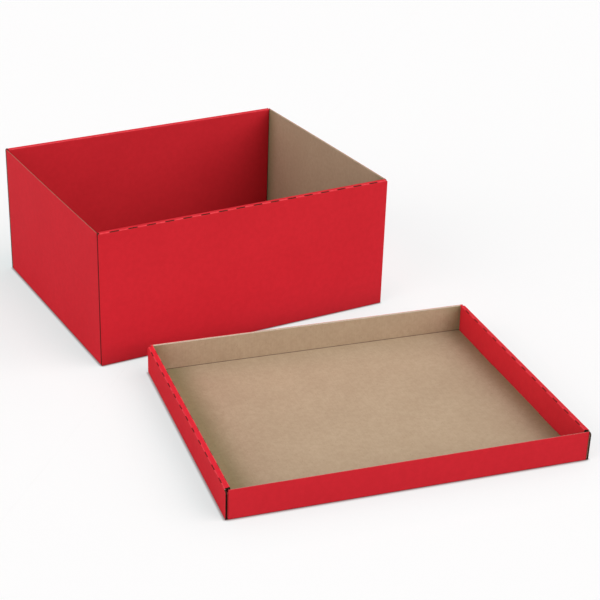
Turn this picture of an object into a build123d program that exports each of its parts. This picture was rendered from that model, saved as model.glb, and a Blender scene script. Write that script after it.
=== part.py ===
"""Folding gift box with a lift-off lid, made of two creased blanks of corrugated board.

The base and the lid are the same kind of tray. Two opposite walls of a tray are rolled: an outer
wall, a narrow rim strip and an inner wall that hooks into slots in the floor with short tabs. The
other two walls are single, and carry a corner ear at each end that the rolled walls trap.

Millimetres, +Z up. The origin is at the middle of the base's underside. The lid lies upside down
in front of the base, on the same table.
"""
from build123d import *
import math
import os
from dataclasses import dataclass

# Board and creases
BOARD = 1.6              # thickness of the corrugated board
CREASE_GAP = 0.1         # play left between two panels, beside the fold line
LAYER_GAP = 0.4          # air each side of an ear inside a rolled wall
EAR_LIFT = 0.5           # ear above the floor
EAR_HEADROOM = 0.4       # ear below the rim strip
END_PLAY = 0.5           # rim strip and inner wall short of the single wall, each end
INNER_DRAFT = 1.2        # inner wall narrower at its foot than at its rim, each end
SEAT_GAP = 0.2           # inner wall above the floor
SHOULDER_RADIUS = 2.0    # rounded top corner of an outer wall
OVERCUT = 1.0            # how far a cut runs on past the board

# Lock tabs of the inner walls, and their slots in the floor
TAB_LIFT = 0.3           # tab's foot above the underside of the floor, at least
TAB_RELEASE = 15.0       # degrees of fold by which a tab has swung up out of its slot
TAB_CLEARANCE = 0.1      # tab above the floor at that angle
TAB_TAPER = 3.0          # tab narrower at its foot, each end
SLOT_PLAY = 0.25         # slot wider than the tab, each side
SLOT_END_PLAY = 1.0      # slot longer than the tab, each end

# Perforation of the fold lines
SLIT_DEPTH = 0.5
SLIT_MARGIN = 18.5       # end of a rolled wall to the middle of its first slit

# Base
BASE_LENGTH = 350.0      # along the rolled walls
BASE_WIDTH = 280.0
BASE_HEIGHT = 153.0
BASE_EAR = 95.0
BASE_SLIT_PITCH = 21.0
BASE_SLIT_LENGTH = 10.3
BASE_TABS = 3
BASE_TAB_LENGTH = 42.0

# Lid
LID_HEIGHT = 32.0
LID_PLAY = 1.2           # inside of the lid to the outside of the base, each side
LID_EAR = 26.0
LID_SLIT_PITCH = 22.5
LID_SLIT_LENGTH = 8.8
LID_TABS = 2
LID_TAB_LENGTH = 36.0
LID_TURN = -10.4         # degrees about Z that the lid lies turned from the base
LID_SHIFT = 16.7         # middle of the lid to the right of the base's
LID_SPACE = 2.0          # left between the base and the lid's back wall once that is folded down

EAR_CORNER = 5.0         # rounded tip of an ear
EAR_RISE = 2.0           # ear's lower edge higher at the tip than at the crease

ROLL_WIDTH = 3 * BOARD + 2 * LAYER_GAP
LID_WIDTH = BASE_WIDTH + 2 * (LID_PLAY + BOARD)
LID_LENGTH = BASE_LENGTH + 2 * (LID_PLAY + ROLL_WIDTH)


@dataclass
class Tray:
    """One blank: rolled walls along local X, single walls along local Y, floor's outer face at z = 0."""

    length: float
    span: float
    height: float
    ear: float
    slit_pitch: float
    slit_length: float
    slit_inner_crease: bool
    tabs: int
    tab_length: float

    @property
    def strip_half(self):
        """Half the length of the rim strip and of the inner wall's top."""
        return self.length / 2 - BOARD - END_PLAY

    @property
    def near(self):
        """Outer face of the rolled wall on the -Y side."""
        return -self.span / 2

    @property
    def ear_face(self):
        """Outer face of the ears on the -Y side, and the end of the single wall."""
        return self.near + BOARD + LAYER_GAP

    @property
    def tab_toe(self):
        """Foot of the lock tabs. A low wall's tabs are shorter, because it swings flatter out."""
        swing = math.radians(TAB_RELEASE)
        corner_drop = BOARD * math.sin(swing)
        length = (self.height - BOARD - TAB_CLEARANCE - corner_drop) / math.cos(swing)
        return max(TAB_LIFT, self.height - length)

    def slit_places(self):
        run = self.length - 2 * SLIT_MARGIN
        gaps = round(run / self.slit_pitch)
        return [-run / 2 + run * i / gaps for i in range(gaps + 1)]

    def tab_places(self):
        """Middles of the tabs, one in each equal share of the inner wall."""
        share = 2 * self.strip_half / self.tabs
        return [share * (i - (self.tabs - 1) / 2) for i in range(self.tabs)]


def along_x(profile, half):
    """Solid of a (y, z) profile, from -half to half along X."""
    return extrude(Plane.YZ * Polygon(*profile, align=None), amount=half, both=True)


def along_y(profile, half):
    """Solid of an (x, z) profile, from -half to half along Y."""
    return extrude(Plane.XZ * Polygon(*profile, align=None), amount=half, both=True)


def board_along_xz(outline, outside):
    """An (x, z) outline cut from the board, with one face at y = outside and the other at a
    board's thickness towards -Y."""
    return Pos(0, outside - BOARD / 2, 0) * extrude(Plane.XZ * outline, amount=BOARD / 2, both=True)


def past_mitre(face, fold, into, beyond):
    """Triangle that cuts a board's edge to 45 degrees, from the fold line on its outer face.
    into is the way from that face into the board and beyond the way past its edge, +1 or -1."""
    deep = BOARD + OVERCUT
    return [(face - into * OVERCUT, fold + beyond * OVERCUT),
            (face + into * deep, fold - beyond * deep),
            (face + into * deep, fold + beyond * OVERCUT)]


def slits(tray, crease_y):
    """The perforation cut through a fold line that runs along X at the rim."""
    size = 2 * SLIT_DEPTH
    cut = [Pos(x, crease_y, tray.height) * Box(tray.slit_length, size, size) for x in tray.slit_places()]
    return Part() + cut


def floor_panel(tray):
    """Floor with mitred edges at its four creases, and a slot for each lock tab."""
    outline = Rectangle(tray.length - 2 * CREASE_GAP, tray.span - 2 * CREASE_GAP)
    panel = extrude(outline, amount=BOARD, taper=45)
    slot_width = BOARD + 2 * SLOT_PLAY
    slot_length = tray.tab_length + 2 * SLOT_END_PLAY
    slot = extrude(SlotOverall(slot_length, slot_width), amount=BOARD)
    slot_y = tray.near + ROLL_WIDTH - BOARD / 2
    cut = [Pos(x, side * slot_y, 0) * slot for x in tray.tab_places() for side in (1, -1)]
    return panel - cut


def outer_wall(tray):
    """Outer layer of the -Y rolled wall. Its top is mitred to the strip, between two full shoulders."""
    y, top = tray.near, tray.height
    wall = along_x([(y, CREASE_GAP), (y + BOARD, BOARD + CREASE_GAP), (y + BOARD, top), (y, top)],
                   tray.length / 2)
    corners = wall.edges().filter_by(Axis.Y).group_by(Axis.Z)[-1]
    wall = fillet(corners, SHOULDER_RADIUS)
    mitre = along_x(past_mitre(y, top - CREASE_GAP, 1, 1), tray.strip_half + CREASE_GAP)
    return wall - mitre - slits(tray, y)


def rim_strip(tray):
    """The narrow strip across the top of the rolled wall, mitred along both of its creases."""
    y, top = tray.near, tray.height
    strip = along_x([(y + CREASE_GAP, top), (y + ROLL_WIDTH - CREASE_GAP, top),
                     (y + ROLL_WIDTH - BOARD - CREASE_GAP, top - BOARD),
                     (y + BOARD + CREASE_GAP, top - BOARD)], tray.strip_half)
    strip -= slits(tray, y)
    if tray.slit_inner_crease:
        strip -= slits(tray, y + ROLL_WIDTH)
    return strip


def inner_wall(tray):
    """Inner layer of the rolled wall, drawn in towards its foot, with the lock tabs below."""
    top, foot, toe = tray.height, BOARD + SEAT_GAP, tray.tab_toe
    half_top, half_foot = tray.strip_half, tray.strip_half - INNER_DRAFT
    outline = [(-half_top, top), (-half_foot, foot)]
    for x in tray.tab_places():
        root, tip = tray.tab_length / 2, tray.tab_length / 2 - TAB_TAPER
        outline += [(x - root, foot), (x - tip, toe), (x + tip, toe), (x + root, foot)]
    outline += [(half_foot, foot), (half_top, top)]
    inside = tray.near + ROLL_WIDTH
    wall = board_along_xz(Polygon(*outline, align=None), inside)
    wall -= along_x(past_mitre(inside, top - CREASE_GAP, -1, 1), tray.length / 2)
    if tray.slit_inner_crease:
        wall -= slits(tray, inside)
    return wall


def single_wall(tray):
    """The -X wall: one layer, mitred to the floor and to its two ears, with a raw top edge."""
    x, end = -tray.length / 2, tray.ear_face
    plan = [(x, end + CREASE_GAP), (x + BOARD, end + BOARD + CREASE_GAP),
            (x + BOARD, -end - BOARD - CREASE_GAP), (x, -end - CREASE_GAP)]
    wall = extrude(Polygon(*plan, align=None), amount=tray.height)
    return wall - along_y(past_mitre(x, CREASE_GAP, 1, -1), tray.span / 2)


def ear(tray):
    """Ear on the -Y end of the -X wall. Its top is an arc about that wall's hinge line at the
    floor, so it slides out from under the rim strip as the wall folds down."""
    x, face = -tray.length / 2, tray.ear_face
    reach = tray.height - BOARD - EAR_HEADROOM
    foot = BOARD + EAR_LIFT
    blank = Polygon((0, foot), (tray.ear, foot + EAR_RISE), (tray.ear, reach), (0, reach), align=None)
    outline = blank & Circle(reach)
    tips = outline.vertices().group_by(Axis.X)[-1]
    outline = fillet(tips, EAR_CORNER)
    sheet = Pos(x, 0, 0) * board_along_xz(outline, face + BOARD)
    corner = [(along, across) for across, along in past_mitre(face, x + CREASE_GAP, 1, -1)]
    return sheet - extrude(Polygon(*corner, align=None), amount=tray.height)


def tray_panels(tray, prefix, near, far, left, right, floor_name):
    """Every panel of a tray by name. near and far are the rolled sides, left and right the single."""
    turn = Rot(0, 0, 180)
    panels = {f"{prefix}_{floor_name}": floor_panel(tray)}
    rolled = {
        "outer_wall": outer_wall(tray),
        "rim_strip": rim_strip(tray),
        "inner_wall": inner_wall(tray),
    }
    for layer, solid in rolled.items():
        panels[f"{prefix}_{near}_{layer}"] = solid
        panels[f"{prefix}_{far}_{layer}"] = turn * solid
    wall = single_wall(tray)
    near_ear = ear(tray)
    far_ear = mirror(near_ear, about=Plane.XZ)
    panels[f"{prefix}_{left}_wall"] = wall
    panels[f"{prefix}_{left}_ear_{near}"] = near_ear
    panels[f"{prefix}_{left}_ear_{far}"] = far_ear
    panels[f"{prefix}_{right}_wall"] = turn * wall
    panels[f"{prefix}_{right}_ear_{far}"] = turn * near_ear
    panels[f"{prefix}_{right}_ear_{near}"] = turn * far_ear
    return panels


base = Tray(length=BASE_LENGTH, span=BASE_WIDTH, height=BASE_HEIGHT, ear=BASE_EAR,
            slit_pitch=BASE_SLIT_PITCH, slit_length=BASE_SLIT_LENGTH, slit_inner_crease=False,
            tabs=BASE_TABS, tab_length=BASE_TAB_LENGTH)
lid = Tray(length=LID_WIDTH, span=LID_LENGTH, height=LID_HEIGHT, ear=LID_EAR,
           slit_pitch=LID_SLIT_PITCH, slit_length=LID_SLIT_LENGTH, slit_inner_crease=True,
           tabs=LID_TABS, tab_length=LID_TAB_LENGTH)

# The lid's rolled walls are its left and right ones, so its blank lies a quarter turn round.
turned = math.radians(LID_TURN)
lid_depth = LID_LENGTH / 2 * abs(math.sin(turned)) + (LID_WIDTH / 2 + LID_HEIGHT) * math.cos(turned)
LID_CENTRE = (LID_SHIFT, -(BASE_WIDTH / 2 + LID_SPACE + lid_depth))
lid_place = Pos(*LID_CENTRE, 0) * Rot(0, 0, 90 + LID_TURN)

nodes = tray_panels(base, "base", near="front", far="back", left="left", right="right",
                    floor_name="floor")
lid_nodes = tray_panels(lid, "lid", near="right", far="left", left="front", right="back",
                        floor_name="top_panel")
for name, solid in lid_nodes.items():
    nodes[name] = lid_place * solid

os.makedirs("parts", exist_ok=True)
for name, solid in nodes.items():
    export_step(solid, f"parts/{name}.step")
print(f"{len(nodes)} panels; lid {LID_LENGTH:.1f} x {LID_WIDTH:.1f}, "
      f"its middle at {LID_CENTRE[0]:.2f}, {LID_CENTRE[1]:.2f}")
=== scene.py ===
import math

import bmesh
import bpy
from mathutils import Matrix, Vector


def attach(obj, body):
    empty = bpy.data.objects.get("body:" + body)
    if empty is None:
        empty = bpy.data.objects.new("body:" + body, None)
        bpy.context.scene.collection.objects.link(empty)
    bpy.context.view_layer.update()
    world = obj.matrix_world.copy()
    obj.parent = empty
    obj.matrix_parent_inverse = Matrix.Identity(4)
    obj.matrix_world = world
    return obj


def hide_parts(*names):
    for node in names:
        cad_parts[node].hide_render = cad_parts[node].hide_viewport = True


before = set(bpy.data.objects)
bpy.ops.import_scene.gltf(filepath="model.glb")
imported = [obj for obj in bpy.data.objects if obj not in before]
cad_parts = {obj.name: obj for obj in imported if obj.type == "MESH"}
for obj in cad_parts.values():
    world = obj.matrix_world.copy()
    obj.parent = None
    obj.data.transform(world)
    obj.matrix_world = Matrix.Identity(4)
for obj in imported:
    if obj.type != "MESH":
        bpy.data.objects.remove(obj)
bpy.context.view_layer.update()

# A folding gift box of red-faced corrugated board: a deep tray, and the shallow tray that is its lid,
# lying open in front of it. Each panel between two creases is a board of its own. It is laid out on a grid
# in its place in the tray, given its thickness, rounded towards its creases, and opened along its raw
# edges to show the fluting. Sizes are in millimetres until a board is finished.

MM = 0.001
TINY = 1e-6
SIDES = (-1, 1)               # low and high side of a tray or a place on it

# Board
BOARD = 1.6                   # thickness
GRID = 14.0                   # spacing of the grid on a plain stretch
SHARP_ANGLE = 28.0            # degrees between two faces from which their edge is shaded sharp

# Creases
FOLD_RADIUS = 1.2             # outside of a crease
FOLD_STEPS = 3                # rows of faces round that radius, to the mitre
SCORE_EDGE = 2.1              # from a fold line to the edge of the scored line inside it
SCORE_SPREAD = 0.12           # the rows on the brown side of a crease lie this far apart
SEAM_LAP = 0.02               # two boards run into each other by this much in a crease
PLY_REACH = (0.11, 1.7)       # from a fold line, the ply that keeps a working crease shut when it is opened
PLY_DEPTH = (1.22, 1.5)       # that ply below the red face
PLY_END = 3.4                 # that ply is shorter than its crease by this much at each end
PLY_SHADE = 0.4               # how dark it is, with painted shade

# Raw edges
LINER = 0.2                   # one face sheet at an open end
FLUTE_SHEET = 0.2             # the wavy sheet
FLUTE_PITCH = 3.2             # from one wave to the next
FLUTE_STEPS = 8               # faces along one wave
FLUTE_SETBACK = 0.12          # wavy sheet behind the cut edge
FLUTE_DEPTH = 3.0             # how far in a raw edge is open
EDGE_FLUTES = 0.6             # past the mitre, where the wavy sheet of an outer wall or an ear starts
STRIP_FLUTES = 0.3            # the same in a rim strip
INNER_FLUTES = (0.5, 2.4)     # where that of an inner wall starts above its foot and stops below the rim
PRESSED_LINER = 0.15          # a face sheet along a top edge, where the cut has pressed the board together
PRESSED_SEAM = 0.08           # there, the middle below the sides
PRESSED_END = 3.6             # length of such an edge that is red to its brown side, at each end
TOP_EDGE_WEAR_AND_HIGHLIGHT = 1.1               # how far down the red face its top edge is paler: rubbed, with a painted highlight

# Both trays
LAYER_GAP = 0.4               # air between two layers of a rolled wall
ROLL = 3 * BOARD + 2 * LAYER_GAP      # width of the rim
END_PLAY = 0.5                # between the end of a strip and the inside of the single wall
INNER_DRAFT = 1.2             # an inner wall is drawn in by this much at each end of its foot
SEAT_GAP = 0.2                # under an inner wall
SHOULDER_RADIUS = 2.0         # corner of an outer wall beyond the strip
SHOULDER_LEAD = 1.0           # the rows bend towards a shoulder from this far below its crease
EAR_LIFT = 0.5                # under an ear
EAR_HEADROOM = 0.4            # over an ear, below the strip
EAR_CORNER = 5.0              # radius
EAR_RISE = 2.0                # an ear's lower edge rises by this much to its end
EAR_ROWS = 100.0              # the rows of an ear are counted from 0 to this between its two curved edges
TAB_TAPER = 3.0               # the lower edge of a tab is shorter by this much at each end
SLOT_PLAY = 0.25              # of a tab in its slot, on each side
SLOT_END_PLAY = 1.0           # the same at each end
SLOT_CORNER = 0.5             # length of a slot's narrowed end
SLOT_END_WIDTH = 0.55         # width left there
SLIT_MARGIN = 18.5            # from the end of a wall to the middle of its first perforation cut
SLIT_END = 0.12               # length over which a cut closes at each end

# Painted shade. A value of 1 in a board's shade layer, or in its layer of score lines and shade, is the full
# dark of its material.
NEAR_SHADE = (0.0, 24.0)      # from a rolled wall, where the shade on the brown board fades
FAR_SHADE = (20.0, 48.0)      # the same at the lid's left wall
SHADE_ROWS = (0.0, 4.0, 9.0, 16.0, 20.0, 24.0, 31.0, 38.0, 48.0)      # stations for it
SHADE_CURVE = 1.4             # above 1, the shade falls off faster at first
FLOOR_WALL_SHADE = 0.17            # painted shade of a floor along its single walls
INNER_WALL_SHADE = 0.22            # painted shade on the red face of an inner wall
FOOT_ROW = 7.0                # a station above the foot of an outer wall
SHADE_REACH = 60.0            # from the crease, where the painted shade of a floor or an outer wall ends
FOOT_SHADE_CURVE = 2.5             # the same, for the painted shade of an outer wall

# The raw edge and cut slots are near black: painted shade in the hollow flutes and cuts.
RED, KRAFT, RAW_PAINTED_SHADE, CUT_PAINTED_SHADE, RED_CUT, KRAFT_CUT = range(6)      # material slots of a board


class Tray:
    """One tray, with rolled walls along local X and single walls along local Y.

    sides            names of its walls at -Y, +Y, -X and +X
    ear              length of an ear
    relief           strips and inner walls are cut back by this much more at their -X ends
    droop            outer crease of the rim below its inner one
    slant            brown side of a pressed top edge below its red one
    shoulder_drop    a shoulder below the rim
    tab_toe          height of the tabs' lower edge over the table
    slit_reach       width and depth of a perforation cut on each side of its crease
    inner_slits      whether the inner crease of the rim is perforated too
    ..._swell        how far a wall bows in its middle
    pressed_finish   material of a pressed top edge
    lit_strip        node of the strip whose red is a little paler, as a painted highlight, if any
    far_shade        shade on the floor beside the +Y wall
    gloom            painted shade over the brown side of a single wall
    crease_shade_spread    how far the painted shade at a single wall's creases spreads over their rounding
    outer_score, single_score    painted shade on the red face of such a wall, darkest at its foot
    """

    def __init__(self, **given):
        vars(self).update(given)
        self.near_side, self.far_side, self.left_side, self.right_side = self.sides
        self.near = -self.span / 2
        self.ear_face = self.near + BOARD + LAYER_GAP
        self.strip_high = self.length / 2 - BOARD - END_PLAY
        self.strip_low = self.relief - self.strip_high
        run = self.length - 2 * SLIT_MARGIN
        gaps = round(run / self.slit_pitch)
        self.slits = [-run / 2 + run * i / gaps for i in range(gaps + 1)]
        share = 2 * self.strip_high / self.tab_count
        self.tabs = [share * (i - (self.tab_count - 1) / 2) for i in range(self.tab_count)]


BASE = Tray(
    name="base", floor="floor", sides=("front", "back", "left", "right"), place=Matrix(),
    length=350.0, span=280.0, height=153.0, ear=95.0,
    relief=0.0, droop=0.0, slant=1.4, shoulder_drop=0.0,
    tab_count=3, tab_length=42.0, tab_toe=0.3,
    slit_pitch=21.0, slit_length=10.3, slit_reach=0.85, slit_finish=RAW_PAINTED_SHADE, inner_slits=False,
    outer_swell=0.25, inner_swell=0.6, single_swell=0.5,
    pressed_finish=KRAFT, lit_strip=None, far_shade=NEAR_SHADE,
    gloom=0.34, crease_shade_spread=2.5, outer_score=0.42, single_score=0.0)
LID = Tray(
    name="lid", floor="top_panel", sides=("right", "left", "front", "back"),
    place=Matrix.Translation((0.0167, -0.346747, 0)) @ Matrix.Rotation(math.radians(79.6), 4, "Z"),
    length=285.6, span=363.6, height=32.0, ear=26.0,
    relief=2.2, droop=0.8, slant=0.9, shoulder_drop=1.6,
    tab_count=2, tab_length=36.0, tab_toe=1.06,
    slit_pitch=22.5, slit_length=8.8, slit_reach=0.7, slit_finish=CUT_PAINTED_SHADE, inner_slits=True,
    outer_swell=0.0, inner_swell=0.0, single_swell=0.0,
    pressed_finish=KRAFT_CUT, lit_strip="lid_left_rim_strip", far_shade=FAR_SHADE,
    gloom=0.06, crease_shade_spread=1.0, outer_score=0.0, single_score=0.14)
HALF_TURN = Matrix.Rotation(math.pi, 4, "Z")
MIRROR_Y = Matrix.Scale(-1, 4, (0, 1, 0))


# Materials

def add_node(tree, kind, inputs=None, **settings):
    """A new node. An input's value is a number, a colour or another node's output."""
    node = tree.nodes.new(kind)
    for key, value in settings.items():
        setattr(node, key, value)
    for key, value in (inputs or {}).items():
        if isinstance(value, bpy.types.NodeSocket):
            tree.links.new(value, node.inputs[key])
        else:
            node.inputs[key].default_value = value
    return node


def mix_colour(tree, factor, a, b, blend="MIX"):
    """Colour a with b over it. Sockets 0, 6, 7 and output 2 are the node's factor and its colours."""
    node = add_node(tree, "ShaderNodeMix", {0: factor, 6: a, 7: b}, data_type="RGBA", blend_type=blend)
    return node.outputs[2]


def spread(tree, value, low, high, to_low, to_high):
    """value's range from low to high, stretched to run from to_low to to_high."""
    return add_node(tree, "ShaderNodeMapRange", {"Value": value, "From Min": low, "From Max": high,
                                                 "To Min": to_low, "To Max": to_high}).outputs[0]


def noise(tree, vector, scale, detail=2.0, roughness=0.5):
    return add_node(tree, "ShaderNodeTexNoise", {"Vector": vector, "Scale": scale, "Detail": detail,
                                                 "Roughness": roughness}).outputs[0]


def maths(tree, operation, a, b=0.0):
    return add_node(tree, "ShaderNodeMath", {0: a, 1: b}, operation=operation).outputs[0]


def painted(tree, layer):
    """What a board's own layer says: how pale a fold is, rubbed and with a painted highlight, or its painted
    shade, one layer of which also holds the dark score lines.
    """
    return add_node(tree, "ShaderNodeAttribute", attribute_name=layer).outputs["Fac"]


def bump(tree, height, strength, distance, below=None):
    """A bump of that height, over another one."""
    inputs = {"Height": height, "Strength": strength, "Distance": distance}
    if below:
        inputs["Normal"] = below
    return add_node(tree, "ShaderNodeBump", inputs).outputs[0]


def board_material(name, roughness, specular):
    """A material with its shader, the object's coordinates, and the board's own place in the flat
    blank, in metres: x along the flutes and y across them."""
    material = bpy.data.materials.new(name)
    material.use_nodes = True
    tree = material.node_tree
    shader = tree.nodes["Principled BSDF"]
    shader.inputs["Roughness"].default_value = roughness
    shader.inputs["Specular IOR Level"].default_value = specular
    where = add_node(tree, "ShaderNodeTexCoord").outputs["Object"]
    blank = add_node(tree, "ShaderNodeUVMap", uv_map="blank").outputs[0]
    return material, tree, shader, where, blank


def washboard(tree, blank):
    """1 on the crests of the flutes and -1 between them."""
    across = add_node(tree, "ShaderNodeSeparateXYZ", {0: blank}).outputs[1]
    return maths(tree, "SINE", maths(tree, "MULTIPLY", across, 2 * math.pi / (FLUTE_PITCH * MM)))


def red_face(name, dark, pale):
    """Printed outer liner: satin and faintly mottled. It is paler along the folds and the top edge, rubbed
    and with a painted highlight, and darker with painted shade at its feet and corners, low on some walls and
    over the inner walls.
    """
    material, tree, shader, where, blank = board_material(name, 0.62, 0.12)
    cloud = noise(tree, where, 16, 4, 0.55)
    mottle = noise(tree, where, 170, 3, 0.55)
    grain = noise(tree, where, 1300, 2, 0.6)
    red = mix_colour(tree, spread(tree, cloud, 0.3, 0.7, 0, 1), (*dark, 1), (*pale, 1))
    red = mix_colour(tree, spread(tree, mottle, 0.35, 0.65, 0.22, 0), red, (0.560, 0.0120, 0.0190, 1))
    red = mix_colour(tree, spread(tree, grain, 0.3, 0.7, 0, 0.1), red, (0.92, 0.035, 0.050, 1))
    # Paler along the folds and the top edge: rubbed, with a painted highlight.
    patchy_wear_and_highlight = spread(tree, noise(tree, where, 260, 3, 0.6), 0.35, 0.6, 0.2, 0.75)
    red = mix_colour(tree, maths(tree, "MULTIPLY", painted(tree, "fold"), patchy_wear_and_highlight), red, (0.92, 0.105, 0.125, 1))
    # Painted shade at the feet and corners, low on some walls and over the inner walls.
    foot = maths(tree, "MULTIPLY", painted(tree, "score"), 0.7)
    red = mix_colour(tree, foot, red, (0.16, 0.008, 0.012, 1))
    tree.links.new(red, shader.inputs["Base Color"])
    tree.links.new(spread(tree, grain, 0.3, 0.7, 0.57, 0.68), shader.inputs["Roughness"])
    waves = bump(tree, washboard(tree, blank), 0.35, 0.00002)
    tree.links.new(bump(tree, grain, 0.3, 0.00006, waves), shader.inputs["Normal"])
    return material


def kraft_face():
    """Bare brown inner liner: matt and mottled, with fibres along the flutes and a few flecks. It is darker
    with painted shade beside a rolled wall, along and over the single walls and faintly in the washboard's
    troughs, and a crease is a dark line: its pressed score with painted shade in it."""
    material, tree, shader, where, blank = board_material("kraft_face", 0.85, 0.1)
    cloud = noise(tree, where, 22, 4, 0.6)
    mottle = noise(tree, where, 230, 4, 0.6)
    stretched = add_node(tree, "ShaderNodeMapping", {"Vector": blank, "Scale": (300, 1400, 1)}).outputs[0]
    fibre = noise(tree, stretched, 1, 3, 0.65)
    flecks = add_node(tree, "ShaderNodeTexVoronoi", {"Vector": stretched, "Scale": 0.35}).outputs[0]
    ridges = washboard(tree, blank)
    brown = mix_colour(tree, spread(tree, cloud, 0.3, 0.7, 0, 1),
                       (0.520, 0.394, 0.268, 1), (0.566, 0.434, 0.298, 1))
    brown = mix_colour(tree, spread(tree, mottle, 0.35, 0.65, 0.3, 0), brown, (0.38, 0.268, 0.172, 1))
    brown = mix_colour(tree, spread(tree, fibre, 0.32, 0.68, 0, 0.25), brown, (0.40, 0.27, 0.165, 1))
    brown = mix_colour(tree, spread(tree, flecks, 0.05, 0.11, 0.5, 0), brown, (0.20, 0.12, 0.07, 1))
    # Faint painted shade in the troughs of the washboard.
    brown = mix_colour(tree, spread(tree, ridges, -1, 1, 0.03, 0), brown, (0.25, 0.16, 0.09, 1))
    # Painted shade beside a rolled wall, tinted.
    brown = mix_colour(tree, painted(tree, "shade"), brown, (0.62, 0.73, 0.59, 1), "MULTIPLY")
    # Dark score lines in the creases with painted shade in them, and painted shade along and over the single
    # walls.
    line = maths(tree, "MULTIPLY", painted(tree, "score"), 0.85)
    brown = mix_colour(tree, line, brown, (0.09, 0.05, 0.03, 1))
    tree.links.new(brown, shader.inputs["Base Color"])
    waves = bump(tree, ridges, 0.3, 0.00003)
    tree.links.new(bump(tree, fibre, 0.5, 0.00008, waves), shader.inputs["Normal"])
    return material


def cut_paper(name, dark, pale, scale):
    """Torn paper of a cut, streaked from dark to pale."""
    material, tree, shader, where, _ = board_material(name, 0.9, 0.1)
    streaks = noise(tree, where, scale, 3, 0.7)
    paper = mix_colour(tree, spread(tree, streaks, 0.3, 0.7, 0, 1), (*dark, 1), (*pale, 1))
    tree.links.new(paper, shader.inputs["Base Color"])
    tree.links.new(bump(tree, streaks, 0.6, 0.0001), shader.inputs["Normal"])
    return material


BOARD_MATERIALS = [
    red_face("red_face", (0.700, 0.0185, 0.0310), (0.740, 0.0210, 0.0345)),
    kraft_face(),
    # The raw edge and the core of a cut are near black: painted shade in the hollow flutes.
    cut_paper("raw_edge_painted_shade", (0.012, 0.006, 0.004), (0.080, 0.042, 0.026), 1100),
    cut_paper("cut_core", (0.030, 0.012, 0.008), (0.080, 0.036, 0.024), 900),
    cut_paper("pressed_red_edge", (0.720, 0.080, 0.095), (0.880, 0.150, 0.165), 1100),
    cut_paper("pressed_kraft_edge", (0.420, 0.325, 0.235), (0.640, 0.540, 0.430), 1100),
]
# The same red, lighter, for one strip: a painted highlight.
LIT_RED = red_face("lit_red_face", (0.800, 0.0220, 0.0410), (0.850, 0.0250, 0.0450))


# Boards

def steps(low, high):
    """Even stations from low to high, both left out."""
    count = max(1, round((high - low) / GRID))
    return [low + (high - low) * i / count for i in range(1, count)]


def fold_rows():
    """How far each row of a rounded crease lies from the fold line, from the mitre outwards."""
    angles = [math.radians(45 * i / FOLD_STEPS) for i in range(FOLD_STEPS, -1, -1)]
    return [FOLD_RADIUS * (1 - math.sin(angle)) for angle in angles]


FOLD_ROWS = fold_rows()


def drop(s):
    """Depth of the rounded face at s from the fold line."""
    if s >= FOLD_RADIUS:
        return 0.0
    return FOLD_RADIUS - math.sqrt(FOLD_RADIUS ** 2 - (FOLD_RADIUS - s) ** 2)


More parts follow.
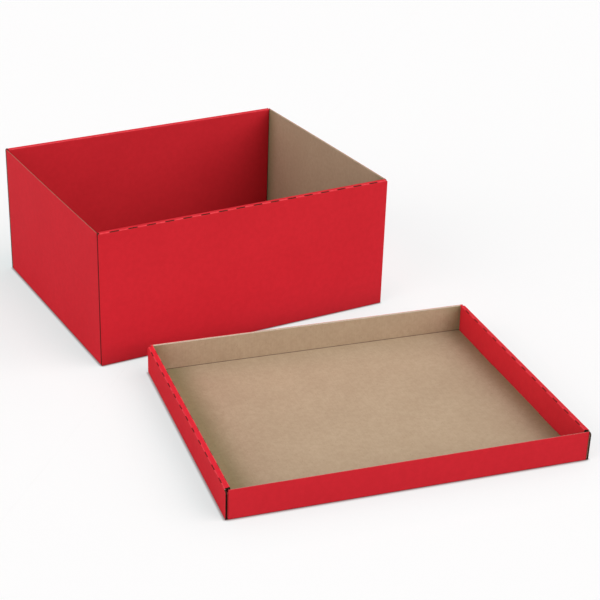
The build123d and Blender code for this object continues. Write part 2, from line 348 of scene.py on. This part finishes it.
class Board:
    """One panel. a and b are its two directions, w the depth below its red face.

    lay(a, b, w) gives the point in the tray, flat(point) its place in the flat blank. creases names the
    borders that fold, out of a_low, a_high, b_low and b_high, with the fold line's own a or b.
    """

    def __init__(self, lay, flat, creases):
        self.lay = lay
        self.flat = flat
        self.creases = creases
        self.bm = bmesh.new()
        self.foot = set()         # creases with painted shade outside: at the table and at the corners
        self.crease_shade_spread = 1.0          # how far that painted shade spreads over their rounding
        self.slit_reach = 0.0
        self.notched = lambda border, along: False      # whether a crease is cut through there
        self.shape = lambda a, b, deep: (a, b)          # outline: where a grid point really lies
        self.trim = lambda v, a, b, w: (a, b, w)        # last change to a vertex and its layers
        self.red_side_shade = lambda a, b: 0.0                  # painted shade on its red side
        self.brown_side_shade = lambda a, b: (0.0, 0.0)           # painted shade on its brown side: a tinted one and a plain dark one

    def stations(self, axis, low, high, extra=()):
        """Sorted stations along an axis, with the rows of its creases and any extra ones."""
        out = set(extra)
        if f"{axis}_low" in self.creases:
            out |= {low + s for s in (*FOLD_ROWS, SCORE_EDGE)}
        else:
            out.add(low)
        if f"{axis}_high" in self.creases:
            out |= {high - s for s in (*FOLD_ROWS, SCORE_EDGE)}
        else:
            out.add(high)
        fixed = sorted(out)
        filled = [fixed[0]]
        for value in fixed[1:]:
            if value - filled[-1] > 1.5 * GRID:
                filled += steps(filled[-1], value)
            if value - filled[-1] > TINY:
                filled.append(value)
        return filled

    def build(self, a_stations, b_stations, keep=lambda a, b: True):
        """The board on its grid, without the cells whose middles keep() leaves out."""
        bm = self.bm
        self.a, self.b = a_stations, b_stations
        na, nb = len(a_stations) - 1, len(b_stations) - 1
        bmesh.ops.create_grid(bm, x_segments=na, y_segments=nb, size=0.5)
        self.col = bm.verts.layers.int.new("col")
        self.row = bm.verts.layers.int.new("row")
        self.deep = bm.verts.layers.int.new("deep")
        # Per vertex: a fold's paleness, rubbed and with a painted highlight, and two layers of painted shade,
        # one also holding the dark score lines.
        self.fold = bm.verts.layers.float.new("fold")
        self.score = bm.verts.layers.float.new("score")
        self.shade = bm.verts.layers.float.new("shade")
        for v in bm.verts:
            v[self.col] = round((v.co.x + 0.5) * na)
            v[self.row] = round((v.co.y + 0.5) * nb)
        gone = []
        for f in bm.faces:
            cols, rows = [v[self.col] for v in f.verts], [v[self.row] for v in f.verts]
            a = (a_stations[min(cols)] + a_stations[max(cols)]) / 2
            b = (b_stations[min(rows)] + b_stations[max(rows)]) / 2
            if not keep(a, b):
                gone.append(f)
        bmesh.ops.delete(bm, geom=gone, context="FACES")
        made = bmesh.ops.extrude_face_region(bm, geom=bm.faces[:])
        for v in made["geom"]:
            if isinstance(v, bmesh.types.BMVert):
                v[self.deep] = 1
        for f in bm.faces:
            depths = {v[self.deep] for v in f.verts}
            if depths == {0}:
                f.material_index = RED
            elif depths == {1} or self.border(f) in self.creases:
                f.material_index = KRAFT
            else:
                f.material_index = RAW_PAINTED_SHADE
        for v in bm.verts:
            v.co = self.lay(*self.trim(v, *self.rounded(v)))
        bmesh.ops.recalc_face_normals(bm, faces=bm.faces)

    def rows_in(self, v, border):
        """How many rows of the grid a vertex lies in from a border."""
        axis, side = border.split("_")
        index, last = (v[self.col], len(self.a) - 1) if axis == "a" else (v[self.row], len(self.b) - 1)
        return index if side == "low" else last - index

    def border(self, f):
        """The border that a side face lies on, or None for the side of a slot."""
        for border in ("a_low", "a_high", "b_low", "b_high"):
            if all(self.rows_in(v, border) == 0 for v in f.verts):
                return border
        return None

    def rounded(self, v):
        """A grid vertex's a, b and w, with its creases rounded outside and mitred inside."""
        start = {"a": self.a[v[self.col]], "b": self.b[v[self.row]]}
        place = dict(start)
        w = BOARD if v[self.deep] else 0.0
        wear_and_highlight = 0.0
        # Painted shade of its brown and its red side.
        if v[self.deep]:
            v[self.shade], v[self.score] = self.brown_side_shade(**start)
        else:
            v[self.shade], v[self.score] = 0.0, self.red_side_shade(**start)
        for border, line in self.creases.items():
            k = self.rows_in(v, border)
            if k > FOLD_STEPS + 1:
                continue
            axis, side = border.split("_")
            along = start["b" if axis == "a" else "a"]
            s = abs(place[axis] - line)
            if v[self.deep]:
                s = max(s, BOARD + SCORE_SPREAD * k - (SEAM_LAP if k == 0 else 0))
                # The brown side of a crease is a dark line: its pressed score with painted shade in it.
                if k <= FOLD_STEPS:
                    v[self.score] = 1.0
            elif k <= FOLD_STEPS:
                if self.notched(border, along):
                    s, w = self.cut_profile(k)
                else:
                    w = max(w, drop(s))
                    if k == 0:
                        s -= SEAM_LAP
                    # Painted shade outside a crease at the table or a corner; other creases are paler, rubbed
                    # and with a painted highlight.
                    if border in self.foot:
                        v[self.score] = max(v[self.score], min(1.0, self.crease_shade_spread * (1 - k / FOLD_STEPS)))
                    else:
                        wear_and_highlight = max(wear_and_highlight, 1 - k / FOLD_STEPS)
            place[axis] = line + (s if side == "low" else -s)
        v[self.fold] = wear_and_highlight
        a, b = self.shape(place["a"], place["b"], v[self.deep])
        return a, b, w

    def cut_profile(self, k):
        """Where row k of a crease lies in a perforation cut: down its side to the mitre."""
        if k == FOLD_STEPS:
            return FOLD_RADIUS, 0.0
        reach = self.slit_reach
        top = drop(reach)
        return reach, top + (reach - top) * (FOLD_STEPS - 1 - k) / (FOLD_STEPS - 1)

    def paint_cuts(self, border, tray):
        """Gives the faces inside the perforation cuts of a crease their own near-black material: painted
        shade in the cut.
        """
        run, layer = (self.b, self.row) if border.startswith("a") else (self.a, self.col)
        for f in self.bm.faces:
            if f.material_index not in (RED, KRAFT) or all(v[self.deep] for v in f.verts):
                continue
            if any(self.rows_in(v, border) >= FOLD_STEPS for v in f.verts):
                continue
            middle = sum(run[v[layer]] for v in f.verts) / len(f.verts)
            if any(abs(middle - x) < tray.slit_length / 2 for x in tray.slits):
                f.material_index = tray.slit_finish

    def press_edge(self, border, finish, end):
        """Turns a raw top border into one that the cut has pressed together: a thin red line, and the rest
        in finish, but red past end on both sides."""
        faces = [f for f in self.bm.faces if f.material_index == RAW_PAINTED_SHADE and self.border(f) == border]
        rim = bmesh.ops.inset_region(self.bm, faces=faces, thickness=PRESSED_LINER, use_boundary=True,
                                     use_even_offset=True)
        for f in rim["faces"]:
            depths = [v[self.deep] for v in f.verts]
            f.material_index = finish if sum(depths) * 2 > len(depths) else RED_CUT
        for f in faces:
            f.material_index = finish
        for f in (*rim["faces"], *faces):
            if all(abs(self.a[v[self.col]]) > end - TINY for v in f.verts):
                f.material_index = RED
        middle = list({v for f in faces for v in f.verts})
        bmesh.ops.translate(self.bm, verts=middle, vec=(0, 0, -PRESSED_SEAM))

    def open_edge(self, border, inward):
        """Cuts the space between the two liners into a raw border, along the flutes. Its sides are near
        black: painted shade in the hollow.
        """
        faces = [f for f in self.bm.faces if f.material_index == RAW_PAINTED_SHADE and self.border(f) == border]
        bmesh.ops.inset_region(self.bm, faces=faces, thickness=LINER, use_boundary=True, use_even_offset=True)
        made = bmesh.ops.extrude_face_region(self.bm, geom=faces)
        verts = [v for v in made["geom"] if isinstance(v, bmesh.types.BMVert)]
        bmesh.ops.translate(self.bm, verts=verts, vec=Vector(inward) * FLUTE_DEPTH)
        bmesh.ops.delete(self.bm, geom=[f for f in faces if f.is_valid], context="FACES_ONLY")
        bmesh.ops.delete(self.bm, geom=[e for e in self.bm.edges if not e.link_faces], context="EDGES")
        for f in made["geom"]:
            if isinstance(f, bmesh.types.BMFace):
                f.material_index = CUT_PAINTED_SHADE

    def fluting(self, start, stop, edge, inward):
        """The wavy sheet behind a raw edge, from start to stop along it. edge(t) gives the edge's a and b."""
        count = max(4, round((stop - start) / FLUTE_PITCH * FLUTE_STEPS))
        made = bmesh.ops.create_grid(self.bm, x_segments=count, y_segments=1, size=0.5)
        rise = (BOARD - 2 * LINER - FLUTE_SHEET) / 2
        for v in made["verts"]:
            along = start + (v.co.x + 0.5) * (stop - start)
            depth = FLUTE_SETBACK + (v.co.y + 0.5) * (FLUTE_DEPTH - FLUTE_SETBACK)
            a, b = edge(along)
            w = BOARD / 2 + rise * math.sin(2 * math.pi * along / FLUTE_PITCH)
            v.co = self.lay(a + inward[0] * depth, b + inward[1] * depth, w)
        faces = list({f for v in made["verts"] for f in v.link_faces})
        # The wavy sheet is near black: painted shade in the flutes.
        for f in faces:
            f.material_index = RAW_PAINTED_SHADE
        bmesh.ops.solidify(self.bm, geom=faces, thickness=FLUTE_SHEET)

    def add_ply(self, border, start, stop):
        """Carries the board on under its fold line, hidden while the crease is folded."""
        axis, side = border.split("_")
        sign = 1 if side == "low" else -1
        made = bmesh.ops.create_cube(self.bm, size=1)
        low = set()
        for v in made["verts"]:
            along = stop if v.co.x > 0 else start
            across = self.creases[border] + sign * PLY_REACH[v.co.y > 0]
            if v.co.z < 0:
                low.add(v)
            a, b = (across, along) if axis == "a" else (along, across)
            # The ply is darkened with painted shade, as the crease's hollow.
            v[self.score] = PLY_SHADE
            v.co = self.lay(a, b, PLY_DEPTH[v.co.z > 0])
        for f in {f for v in made["verts"] for f in v.link_faces}:
            f.material_index = RED if all(v in low for v in f.verts) else KRAFT

    def finish(self, tray, node, body, turns=()):
        """The board as a piece of the scene, for its own node and each (node, body, turn) that repeats it."""
        bm = self.bm
        bmesh.ops.recalc_face_normals(bm, faces=bm.faces)
        uv = bm.loops.layers.uv.new("blank")
        for f in bm.faces:
            for loop in f.loops:
                u, v = self.flat(loop.vert.co)
                loop[uv].uv = (u * MM, v * MM)
        for name, rides, turn in ((node, body, Matrix()), *turns):
            mesh = bpy.data.meshes.new(name + "_board")
            bm.to_mesh(mesh)
            placed = tray.place @ turn @ Matrix.Scale(MM, 4)
            mesh.transform(placed)
            if placed.determinant() < 0:
                mesh.flip_normals()
            for layer in ("col", "row", "deep"):
                mesh.attributes.remove(mesh.attributes[layer])
            for material in BOARD_MATERIALS:
                mesh.materials.append(material)
            # One strip gets its red lighter: a painted highlight.
            if name == tray.lit_strip:
                mesh.materials[RED] = LIT_RED
            mesh.shade_smooth()
            mesh.set_sharp_from_angle(angle=math.radians(SHARP_ANGLE))
            piece = bpy.data.objects.new(name + "_board", mesh)
            bpy.context.scene.collection.objects.link(piece)
            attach(piece, rides)
            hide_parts(name)
        bm.free()


def slit_stations(tray):
    """Stations along a rolled wall at both ends of each perforation cut."""
    ends = [(x + side * tray.slit_length / 2, side) for x in tray.slits for side in SIDES]
    return [end - side * inset for end, side in ends for inset in (0, SLIT_END)]


def in_slit(tray, x):
    return any(abs(x - middle) <= tray.slit_length / 2 - SLIT_END + TINY for middle in tray.slits)


def shade_stations(inside):
    """Stations across a floor or along a single wall for the shade beside the rolled walls."""
    return [side * (inside - row) for side in SIDES for row in SHADE_ROWS]


def beside(distance, start, stop):
    """1 from a wall to start, fading to 0 at stop."""
    return min(1.0, max(0.0, (stop - distance) / (stop - start))) ** SHADE_CURVE


def bulge(t, u, amount):
    """A shallow swell over a panel whose two directions run from 0 to 1."""
    return amount * math.sin(math.pi * min(max(t, 0), 1)) * math.sin(math.pi * min(max(u, 0), 1))


def rolled_nodes(tray, layer, body):
    """The -Y rolled wall's node and body, and those of the +Y one that mirrors it."""
    near, far = f"{tray.name}_{tray.near_side}", f"{tray.name}_{tray.far_side}"
    bodies = [tray.name, tray.name] if body is None else [f"{near}_{body}", f"{far}_{body}"]
    return f"{near}_{layer}", bodies[0], [(f"{far}_{layer}", bodies[1], MIRROR_Y)]


def make_floor(tray):
    half_x, half_y = tray.length / 2, tray.span / 2
    board = Board(lambda a, b, w: Vector((a, b, w)), lambda p: (p.x, p.y),
                  {"a_low": -half_x, "a_high": half_x, "b_low": -half_y, "b_high": half_y})
    inside = half_y - ROLL
    slot_y = inside + BOARD / 2
    slot_half = BOARD / 2 + SLOT_PLAY
    ends = tray.tab_length / 2 + SLOT_END_PLAY

    def keep(a, b):
        return not (any(abs(a - t) < ends for t in tray.tabs) and abs(abs(b) - slot_y) < slot_half)

    def narrowed_slots(a, b, deep):
        at_end = any(abs(abs(a - t) - ends) < TINY for t in tray.tabs)
        if at_end and abs(abs(abs(b) - slot_y) - slot_half) < TINY:
            middle = math.copysign(slot_y, b)
            b = middle + (b - middle) * SLOT_END_WIDTH
        return a, b

    # Painted shade on the brown floor: tinted beside the rolled walls, plain along the single walls.
    def brown_side_shade(a, b):
        reach = tray.far_shade if b > 0 else NEAR_SHADE
        return beside(inside - abs(b), *reach), FLOOR_WALL_SHADE * beside(half_x - abs(a), 0.0, SHADE_REACH)

    board.shape = narrowed_slots
    # Painted shade on the outside of its creases.
    board.foot = set(board.creases)
    board.brown_side_shade = brown_side_shade
    slot_ends = [t + side * (ends - inset) for t in tray.tabs for side in SIDES for inset in (0, SLOT_CORNER)]
    slot_sides = [side * (slot_y + way * slot_half) for side in SIDES for way in SIDES]
    board.build(board.stations("a", -half_x, half_x, slot_ends),
                board.stations("b", -half_y, half_y, slot_sides + shade_stations(inside)), keep)
    for border in ("a_low", "a_high"):
        board.add_ply(border, tray.ear_face + PLY_END, -tray.ear_face - PLY_END)
    board.finish(tray, f"{tray.name}_{tray.floor}", tray.name)


def make_outer_wall(tray):
    near, top, half = tray.near, tray.height, tray.length / 2
    low_end, high_end = tray.strip_low, tray.strip_high

    def lay(a, b, w):
        sunk = tray.droop * min(max(b, 0) / (top - FOLD_RADIUS), 1)
        out = bulge((a + half) / (2 * half), b / top, tray.outer_swell)
        return Vector((a, near + w + out, b - sunk))

    board = Board(lay, lambda p: (p.x, near - p.z), {"b_low": 0.0, "b_high": top})

    def past_strip(a):
        return a > high_end + SLIT_END / 2 or a < low_end - SLIT_END / 2

    def shoulders(a, b, deep):
        """Outside the strip the wall has a plain edge with a rounded corner."""
        low = top - BOARD - tray.shoulder_drop - SHOULDER_LEAD
        if not past_strip(a) or b < low:
            return a, b
        share = (b - low) / ((top - BOARD if deep else top - FOLD_ROWS[0]) - low)
        limit = top - tray.shoulder_drop
        over = abs(a) - (half - SHOULDER_RADIUS)
        if over > 0:
            limit = limit - SHOULDER_RADIUS + math.sqrt(max(0.0, SHOULDER_RADIUS ** 2 - over ** 2))
        return a, low + (limit - low) * min(share, 1.0)

    def plain_shoulders(v, a, b, w):
        """The edge of a shoulder isn't rounded as a crease is."""
        if past_strip(board.a[v[board.col]]) and board.rows_in(v, "b_high") <= FOLD_STEPS:
            w = BOARD if v[board.deep] else 0.0
            v[board.fold] = 0.0
        return a, b, w

    board.shape = shoulders
    board.trim = plain_shoulders
    # Painted shade on the outside of its foot crease.
    board.foot = {"b_low"}
    board.notched = lambda border, along: border == "b_high" and in_slit(tray, along)
    board.slit_reach = tray.slit_reach
    # Painted shade on its red face, darkest at the foot.
    board.red_side_shade = lambda a, b: tray.outer_score * max(0.0, 1 - b / SHADE_REACH) ** FOOT_SHADE_CURVE
    corner = [half - SHOULDER_RADIUS * (1 - math.sin(math.radians(t))) for t in (0, 30, 60)]
    extra = slit_stations(tray) + [side * x for side in SIDES for x in corner]
    extra += [low_end, low_end - SLIT_END, high_end, high_end + SLIT_END]
    board.build(board.stations("a", -half, half, extra), board.stations("b", 0, top, [FOOT_ROW]))
    board.paint_cuts("b_high", tray)
    # Beyond the strip the top edge is raw and near black: painted shade.
    for f in board.bm.faces:
        if board.border(f) == "b_high" and all(past_strip(board.a[v[board.col]]) for v in f.verts):
            f.material_index = RAW_PAINTED_SHADE
    for border, sign in (("a_low", -1), ("a_high", 1)):
        board.open_edge(border, (-sign, 0, 0))
        board.fluting(BOARD + EDGE_FLUTES, top - (BOARD + EDGE_FLUTES),
                      lambda t, x=sign * half: (x, t), (-sign, 0))
    board.add_ply("b_high", low_end + PLY_END, high_end - PLY_END)
    board.finish(tray, *rolled_nodes(tray, "outer_wall", None))


def make_strip(tray):
    near, top, low_end, high_end = tray.near, tray.height, tray.strip_low, tray.strip_high

    def lay(a, b, w):
        share = min(max((b - FOLD_RADIUS) / (ROLL - 2 * FOLD_RADIUS), 0), 1)
        return Vector((a, near + b, top - w - tray.droop * (1 - share)))

    board = Board(lay, lambda p: (p.x, near - top - (p.y - near)), {"b_low": 0.0, "b_high": ROLL})
    board.notched = lambda border, along: (border == "b_low" or tray.inner_slits) and in_slit(tray, along)
    board.slit_reach = tray.slit_reach
    board.build(board.stations("a", low_end, high_end, slit_stations(tray)), board.stations("b", 0, ROLL))
    board.paint_cuts("b_low", tray)
    if tray.inner_slits:
        board.paint_cuts("b_high", tray)
    for border, x, sign in (("a_low", low_end, -1), ("a_high", high_end, 1)):
        board.open_edge(border, (-sign, 0, 0))
        board.fluting(BOARD + STRIP_FLUTES, ROLL - BOARD - STRIP_FLUTES, lambda t, x=x: (x, t), (-sign, 0))
    for border in ("b_low", "b_high"):
        board.add_ply(border, low_end + PLY_END, high_end - PLY_END)
    board.finish(tray, *rolled_nodes(tray, "rim_strip", "strip"))


def make_inner_wall(tray):
    top, foot, low_end, high_end = tray.height, BOARD + SEAT_GAP, tray.strip_low, tray.strip_high
    inside = tray.near + ROLL
    root = tray.tab_length / 2

    def lay(a, b, w):
        out = bulge((a + high_end) / (2 * high_end), (b - foot) / (top - foot), tray.inner_swell)
        return Vector((a, inside - w + out, b))

    board = Board(lay, lambda p: (p.x, tray.near - top - ROLL - (top - p.z)), {"b_high": top})

    def keep(a, b):
        return b > foot or any(abs(a - t) < root for t in tray.tabs)

    def end(b, sign):
        """Where the wall's drawn-in end is at a height."""
        tuck = INNER_DRAFT * (1 - max(0.0, (b - foot) / (top - foot)))
        return high_end - tuck if sign > 0 else low_end + tuck

    def draft(a, b, deep):
        if a > high_end - TINY or a < low_end + TINY:
            a = end(b, a)
        if b < foot - TINY:
            for t in tray.tabs:
                if abs(abs(a - t) - root) < TINY:
                    a = t + math.copysign(root - TAB_TAPER, a - t)
        return a, b

    board.shape = draft
    board.notched = lambda border, along: tray.inner_slits and in_slit(tray, along)
    board.slit_reach = tray.slit_reach
    # The whole red face of an inner wall gets a little painted shade.
    board.red_side_shade = lambda a, b: INNER_WALL_SHADE
    extra = [t + side * root for t in tray.tabs for side in SIDES]
    if tray.inner_slits:
        extra += slit_stations(tray)
    board.build(board.stations("a", low_end, high_end, extra),
                [tray.tab_toe] + board.stations("b", foot, top), keep)
    if tray.inner_slits:
        board.paint_cuts("b_high", tray)
    over_foot, under_rim = INNER_FLUTES
    for border, sign in (("a_low", -1), ("a_high", 1)):
        board.open_edge(border, (-sign, 0, 0))
        board.fluting(foot + over_foot, top - under_rim, lambda t, sign=sign: (end(t, sign), t), (-sign, 0))
    board.add_ply("b_high", low_end + PLY_END, high_end - PLY_END)
    board.finish(tray, *rolled_nodes(tray, "inner_wall", "inner"))


def make_single_wall(tray):
    x, end, top = -tray.length / 2, -tray.ear_face, tray.height
    inside = tray.span / 2 - ROLL
    brown = end - PRESSED_END

    def lay(a, b, w):
        out = tray.single_swell * math.sin(math.pi * (a + end) / (2 * end)) * math.sin(math.pi / 2 * b / top)
        return Vector((x + w - out, a, b))

    board = Board(lay, lambda p: (x - p.z, p.y), {"a_low": -end, "a_high": end, "b_low": 0.0})

    def top_wear_and_highlight(v, a, b, w):
        """The cut edge is paler along its red side too: rubbed, with a painted highlight."""
        if board.rows_in(v, "b_high") == 0 and not v[board.deep]:
            v[board.fold] = 1.0
        return a, b, w

    board.shape = lambda a, b, deep: (a, b - tray.slant if deep and b > top - TINY else b)
    board.trim = top_wear_and_highlight
    # Painted shade outside its creases and low on its red face, and over its brown side, with more beside the
    # rolled walls.
    board.foot = set(board.creases)
    board.crease_shade_spread = tray.crease_shade_spread
    board.red_side_shade = lambda a, b: tray.single_score * (1 - b / top)
    board.brown_side_shade = lambda a, b: (beside(inside - abs(a), *NEAR_SHADE), tray.gloom)
    board.build(board.stations("a", -end, end, [-brown, brown] + shade_stations(inside)),
                board.stations("b", 0, top, [top - TOP_EDGE_WEAR_AND_HIGHLIGHT]))
    board.press_edge("b_high", tray.pressed_finish, brown)
    board.add_ply("b_low", PLY_END - end, end - PLY_END)
    left, right = f"{tray.name}_{tray.left_side}", f"{tray.name}_{tray.right_side}"
    board.finish(tray, f"{left}_wall", f"{left}_side", [(f"{right}_wall", f"{right}_side", HALF_TURN)])


def make_ears(tray):
    x, face = -tray.length / 2, tray.ear_face
    reach = tray.height - BOARD - EAR_HEADROOM - tray.droop
    foot = BOARD + EAR_LIFT
    last = tray.ear - EAR_CORNER
    board = Board(lambda a, b, w: Vector((x + a, face + w, b)),
                  lambda p: (x - p.z, face - (p.x - x)), {"a_low": 0.0})

    def ends(a):
        """Heights of the ear's lower and upper edge."""
        over = max(0.0, a - last)
        round_off = EAR_CORNER - math.sqrt(max(0.0, EAR_CORNER ** 2 - over ** 2))
        return foot + EAR_RISE * a / tray.ear + round_off, math.sqrt(reach ** 2 - a ** 2) - round_off

    def outline(a, b, deep):
        low, high = ends(a)
        return a, low + (high - low) * b / EAR_ROWS

    board.shape = outline
    corner = [tray.ear - EAR_CORNER * (1 - math.sin(math.radians(t))) for t in (0, 15, 30, 45, 60, 75)]
    board.build(board.stations("a", 0, tray.ear, corner), board.stations("b", 0, EAR_ROWS))
    board.open_edge("b_high", (0, 0, -1))
    board.open_edge("b_low", (0, 0, 1))
    board.fluting(BOARD + EDGE_FLUTES, last, lambda t: (t, ends(t)[1]), (0, -1))
    board.fluting(BOARD + EDGE_FLUTES, last, lambda t: (t, ends(t)[0]), (0, 1))
    left, right = f"{tray.name}_{tray.left_side}", f"{tray.name}_{tray.right_side}"
    near, far = tray.near_side, tray.far_side
    board.finish(tray, f"{left}_ear_{near}", f"{left}_side",
                 [(f"{left}_ear_{far}", f"{left}_side", MIRROR_Y),
                  (f"{right}_ear_{far}", f"{right}_side", HALF_TURN),
                  (f"{right}_ear_{near}", f"{right}_side", HALF_TURN @ MIRROR_Y)])


for tray in (BASE, LID):
    make_floor(tray)
    make_outer_wall(tray)
    make_strip(tray)
    make_inner_wall(tray)
    make_single_wall(tray)
    make_ears(tray)


# Studio, in metres

TABLE_HALF = 60
CONTACT_REACH, CONTACT_CURVE = 0.003, 2.5      # painted contact shadow where a box touches the table
AROUND_REACH = 0.06                            # soft shade round a box
FRAME = 600                                    # side of the picture, in pixels
SENSOR = 36.0                                  # width of the camera's sensor, in millimetres


def make_table():
    """The camera sees a white table with the shadows of the boxes on it, and the boxes get light back
    from a plain grey one."""
    bm = bmesh.new()
    bmesh.ops.create_grid(bm, x_segments=1, y_segments=1, size=TABLE_HALF)
    mesh = bpy.data.meshes.new("table")
    bm.to_mesh(mesh)
    bm.free()
    table = bpy.data.objects.new("table", mesh)
    bpy.context.scene.collection.objects.link(table)
    material = bpy.data.materials.new("table_top")
    material.use_nodes = True
    tree = material.node_tree
    shader = tree.nodes["Principled BSDF"]
    shader.inputs["Base Color"].default_value = (0.4, 0.4, 0.4, 1)
    shader.inputs["Roughness"].default_value = 1.0
    shader.inputs["Specular IOR Level"].default_value = 0.0
    seen = add_node(tree, "ShaderNodeBsdfDiffuse", {"Color": (0.38, 0.30, 0.30, 1)})
    # Painted shade: the glow fades where the sky is hidden close to a box.
    contact = add_node(tree, "ShaderNodeAmbientOcclusion", {"Distance": CONTACT_REACH}).outputs["AO"]
    around = add_node(tree, "ShaderNodeAmbientOcclusion", {"Distance": AROUND_REACH}).outputs["AO"]
    lit = mix_colour(tree, around, (0.395, 0.572, 0.572, 1), (0.610, 0.684, 0.684, 1))
    open_to_light = maths(tree, "POWER", contact, CONTACT_CURVE)
    glow = add_node(tree, "ShaderNodeEmission", {
        "Color": mix_colour(tree, open_to_light, (0.0, 0.0, 0.0, 1), lit)})
    both = add_node(tree, "ShaderNodeAddShader", {0: seen.outputs[0], 1: glow.outputs[0]})
    rays = add_node(tree, "ShaderNodeLightPath")
    mix = add_node(tree, "ShaderNodeMixShader", {0: rays.outputs["Is Camera Ray"], 1: shader.outputs[0],
                                                 2: both.outputs[0]})
    tree.links.new(mix.outputs[0], tree.nodes["Material Output"].inputs["Surface"])
    mesh.materials.append(material)


def make_world():
    """A dim white sky, which the camera sees at nearly full white."""
    world = bpy.data.worlds.new("studio")
    world.use_nodes = True
    tree = world.node_tree
    tree.nodes.clear()
    light = add_node(tree, "ShaderNodeBackground", {"Color": (1, 1, 1, 1), "Strength": 0.235})
    shown = add_node(tree, "ShaderNodeBackground", {"Color": (0.98, 0.98, 0.98, 1), "Strength": 1.0})
    rays = add_node(tree, "ShaderNodeLightPath")
    mix = add_node(tree, "ShaderNodeMixShader", {0: rays.outputs["Is Camera Ray"], 1: light.outputs[0],
                                                 2: shown.outputs[0]})
    out = add_node(tree, "ShaderNodeOutputWorld")
    tree.links.new(mix.outputs[0], out.inputs["Surface"])
    bpy.context.scene.world = world


def add_lamp(name, towards, softness, strength):
    """A distant lamp in that direction, as wide as softness degrees."""
    data = bpy.data.lights.new(name, "SUN")
    data.angle = math.radians(softness)
    data.energy = strength
    lamp = bpy.data.objects.new(name, data)
    lamp.rotation_euler = Vector(towards).to_track_quat("Z", "Y").to_euler()
    bpy.context.scene.collection.objects.link(lamp)


def add_camera(yaw, pitch, roll, distance, target, focal, centre):
    """Looks at a target on the table. Angles are in degrees, focal and centre in pixels of the picture."""
    data = bpy.data.cameras.new("camera")
    data.sensor_width = SENSOR
    data.lens = focal / FRAME * SENSOR
    data.shift_x = (FRAME / 2 - centre[0]) / FRAME
    data.shift_y = (centre[1] - FRAME / 2) / FRAME
    data.clip_start, data.clip_end = 0.05, 200
    yaw, pitch, roll = (math.radians(v) for v in (yaw, pitch, roll))
    ahead = Vector((math.sin(yaw) * math.cos(pitch), math.cos(yaw) * math.cos(pitch), -math.sin(pitch)))
    level = Vector((math.cos(yaw), -math.sin(yaw), 0))
    upright = level.cross(ahead)
    right = math.cos(roll) * level + math.sin(roll) * upright
    up = math.cos(roll) * upright - math.sin(roll) * level
    turn = Matrix((right, up, -ahead)).transposed().to_4x4()
    camera = bpy.data.objects.new("camera", data)
    camera.matrix_world = Matrix.Translation(Vector((*target, 0)) - distance * ahead) @ turn
    bpy.context.scene.collection.objects.link(camera)
    bpy.context.scene.camera = camera


make_table()
make_world()
add_lamp("front_right", (0.6, -0.7, 0.7), 60, 2.14)
add_lamp("left", (-1.0, -0.1, 0.35), 60, 2.02)
add_lamp("right", (1.0, 0.0, 0.6), 60, 0.74)
add_camera(yaw=28.695, pitch=25.655, roll=1.145, distance=1.7399, target=(0.0613, -0.0551),
           focal=1476.9, centre=(260, 293))
bpy.context.scene.view_settings.view_transform = "Standard"
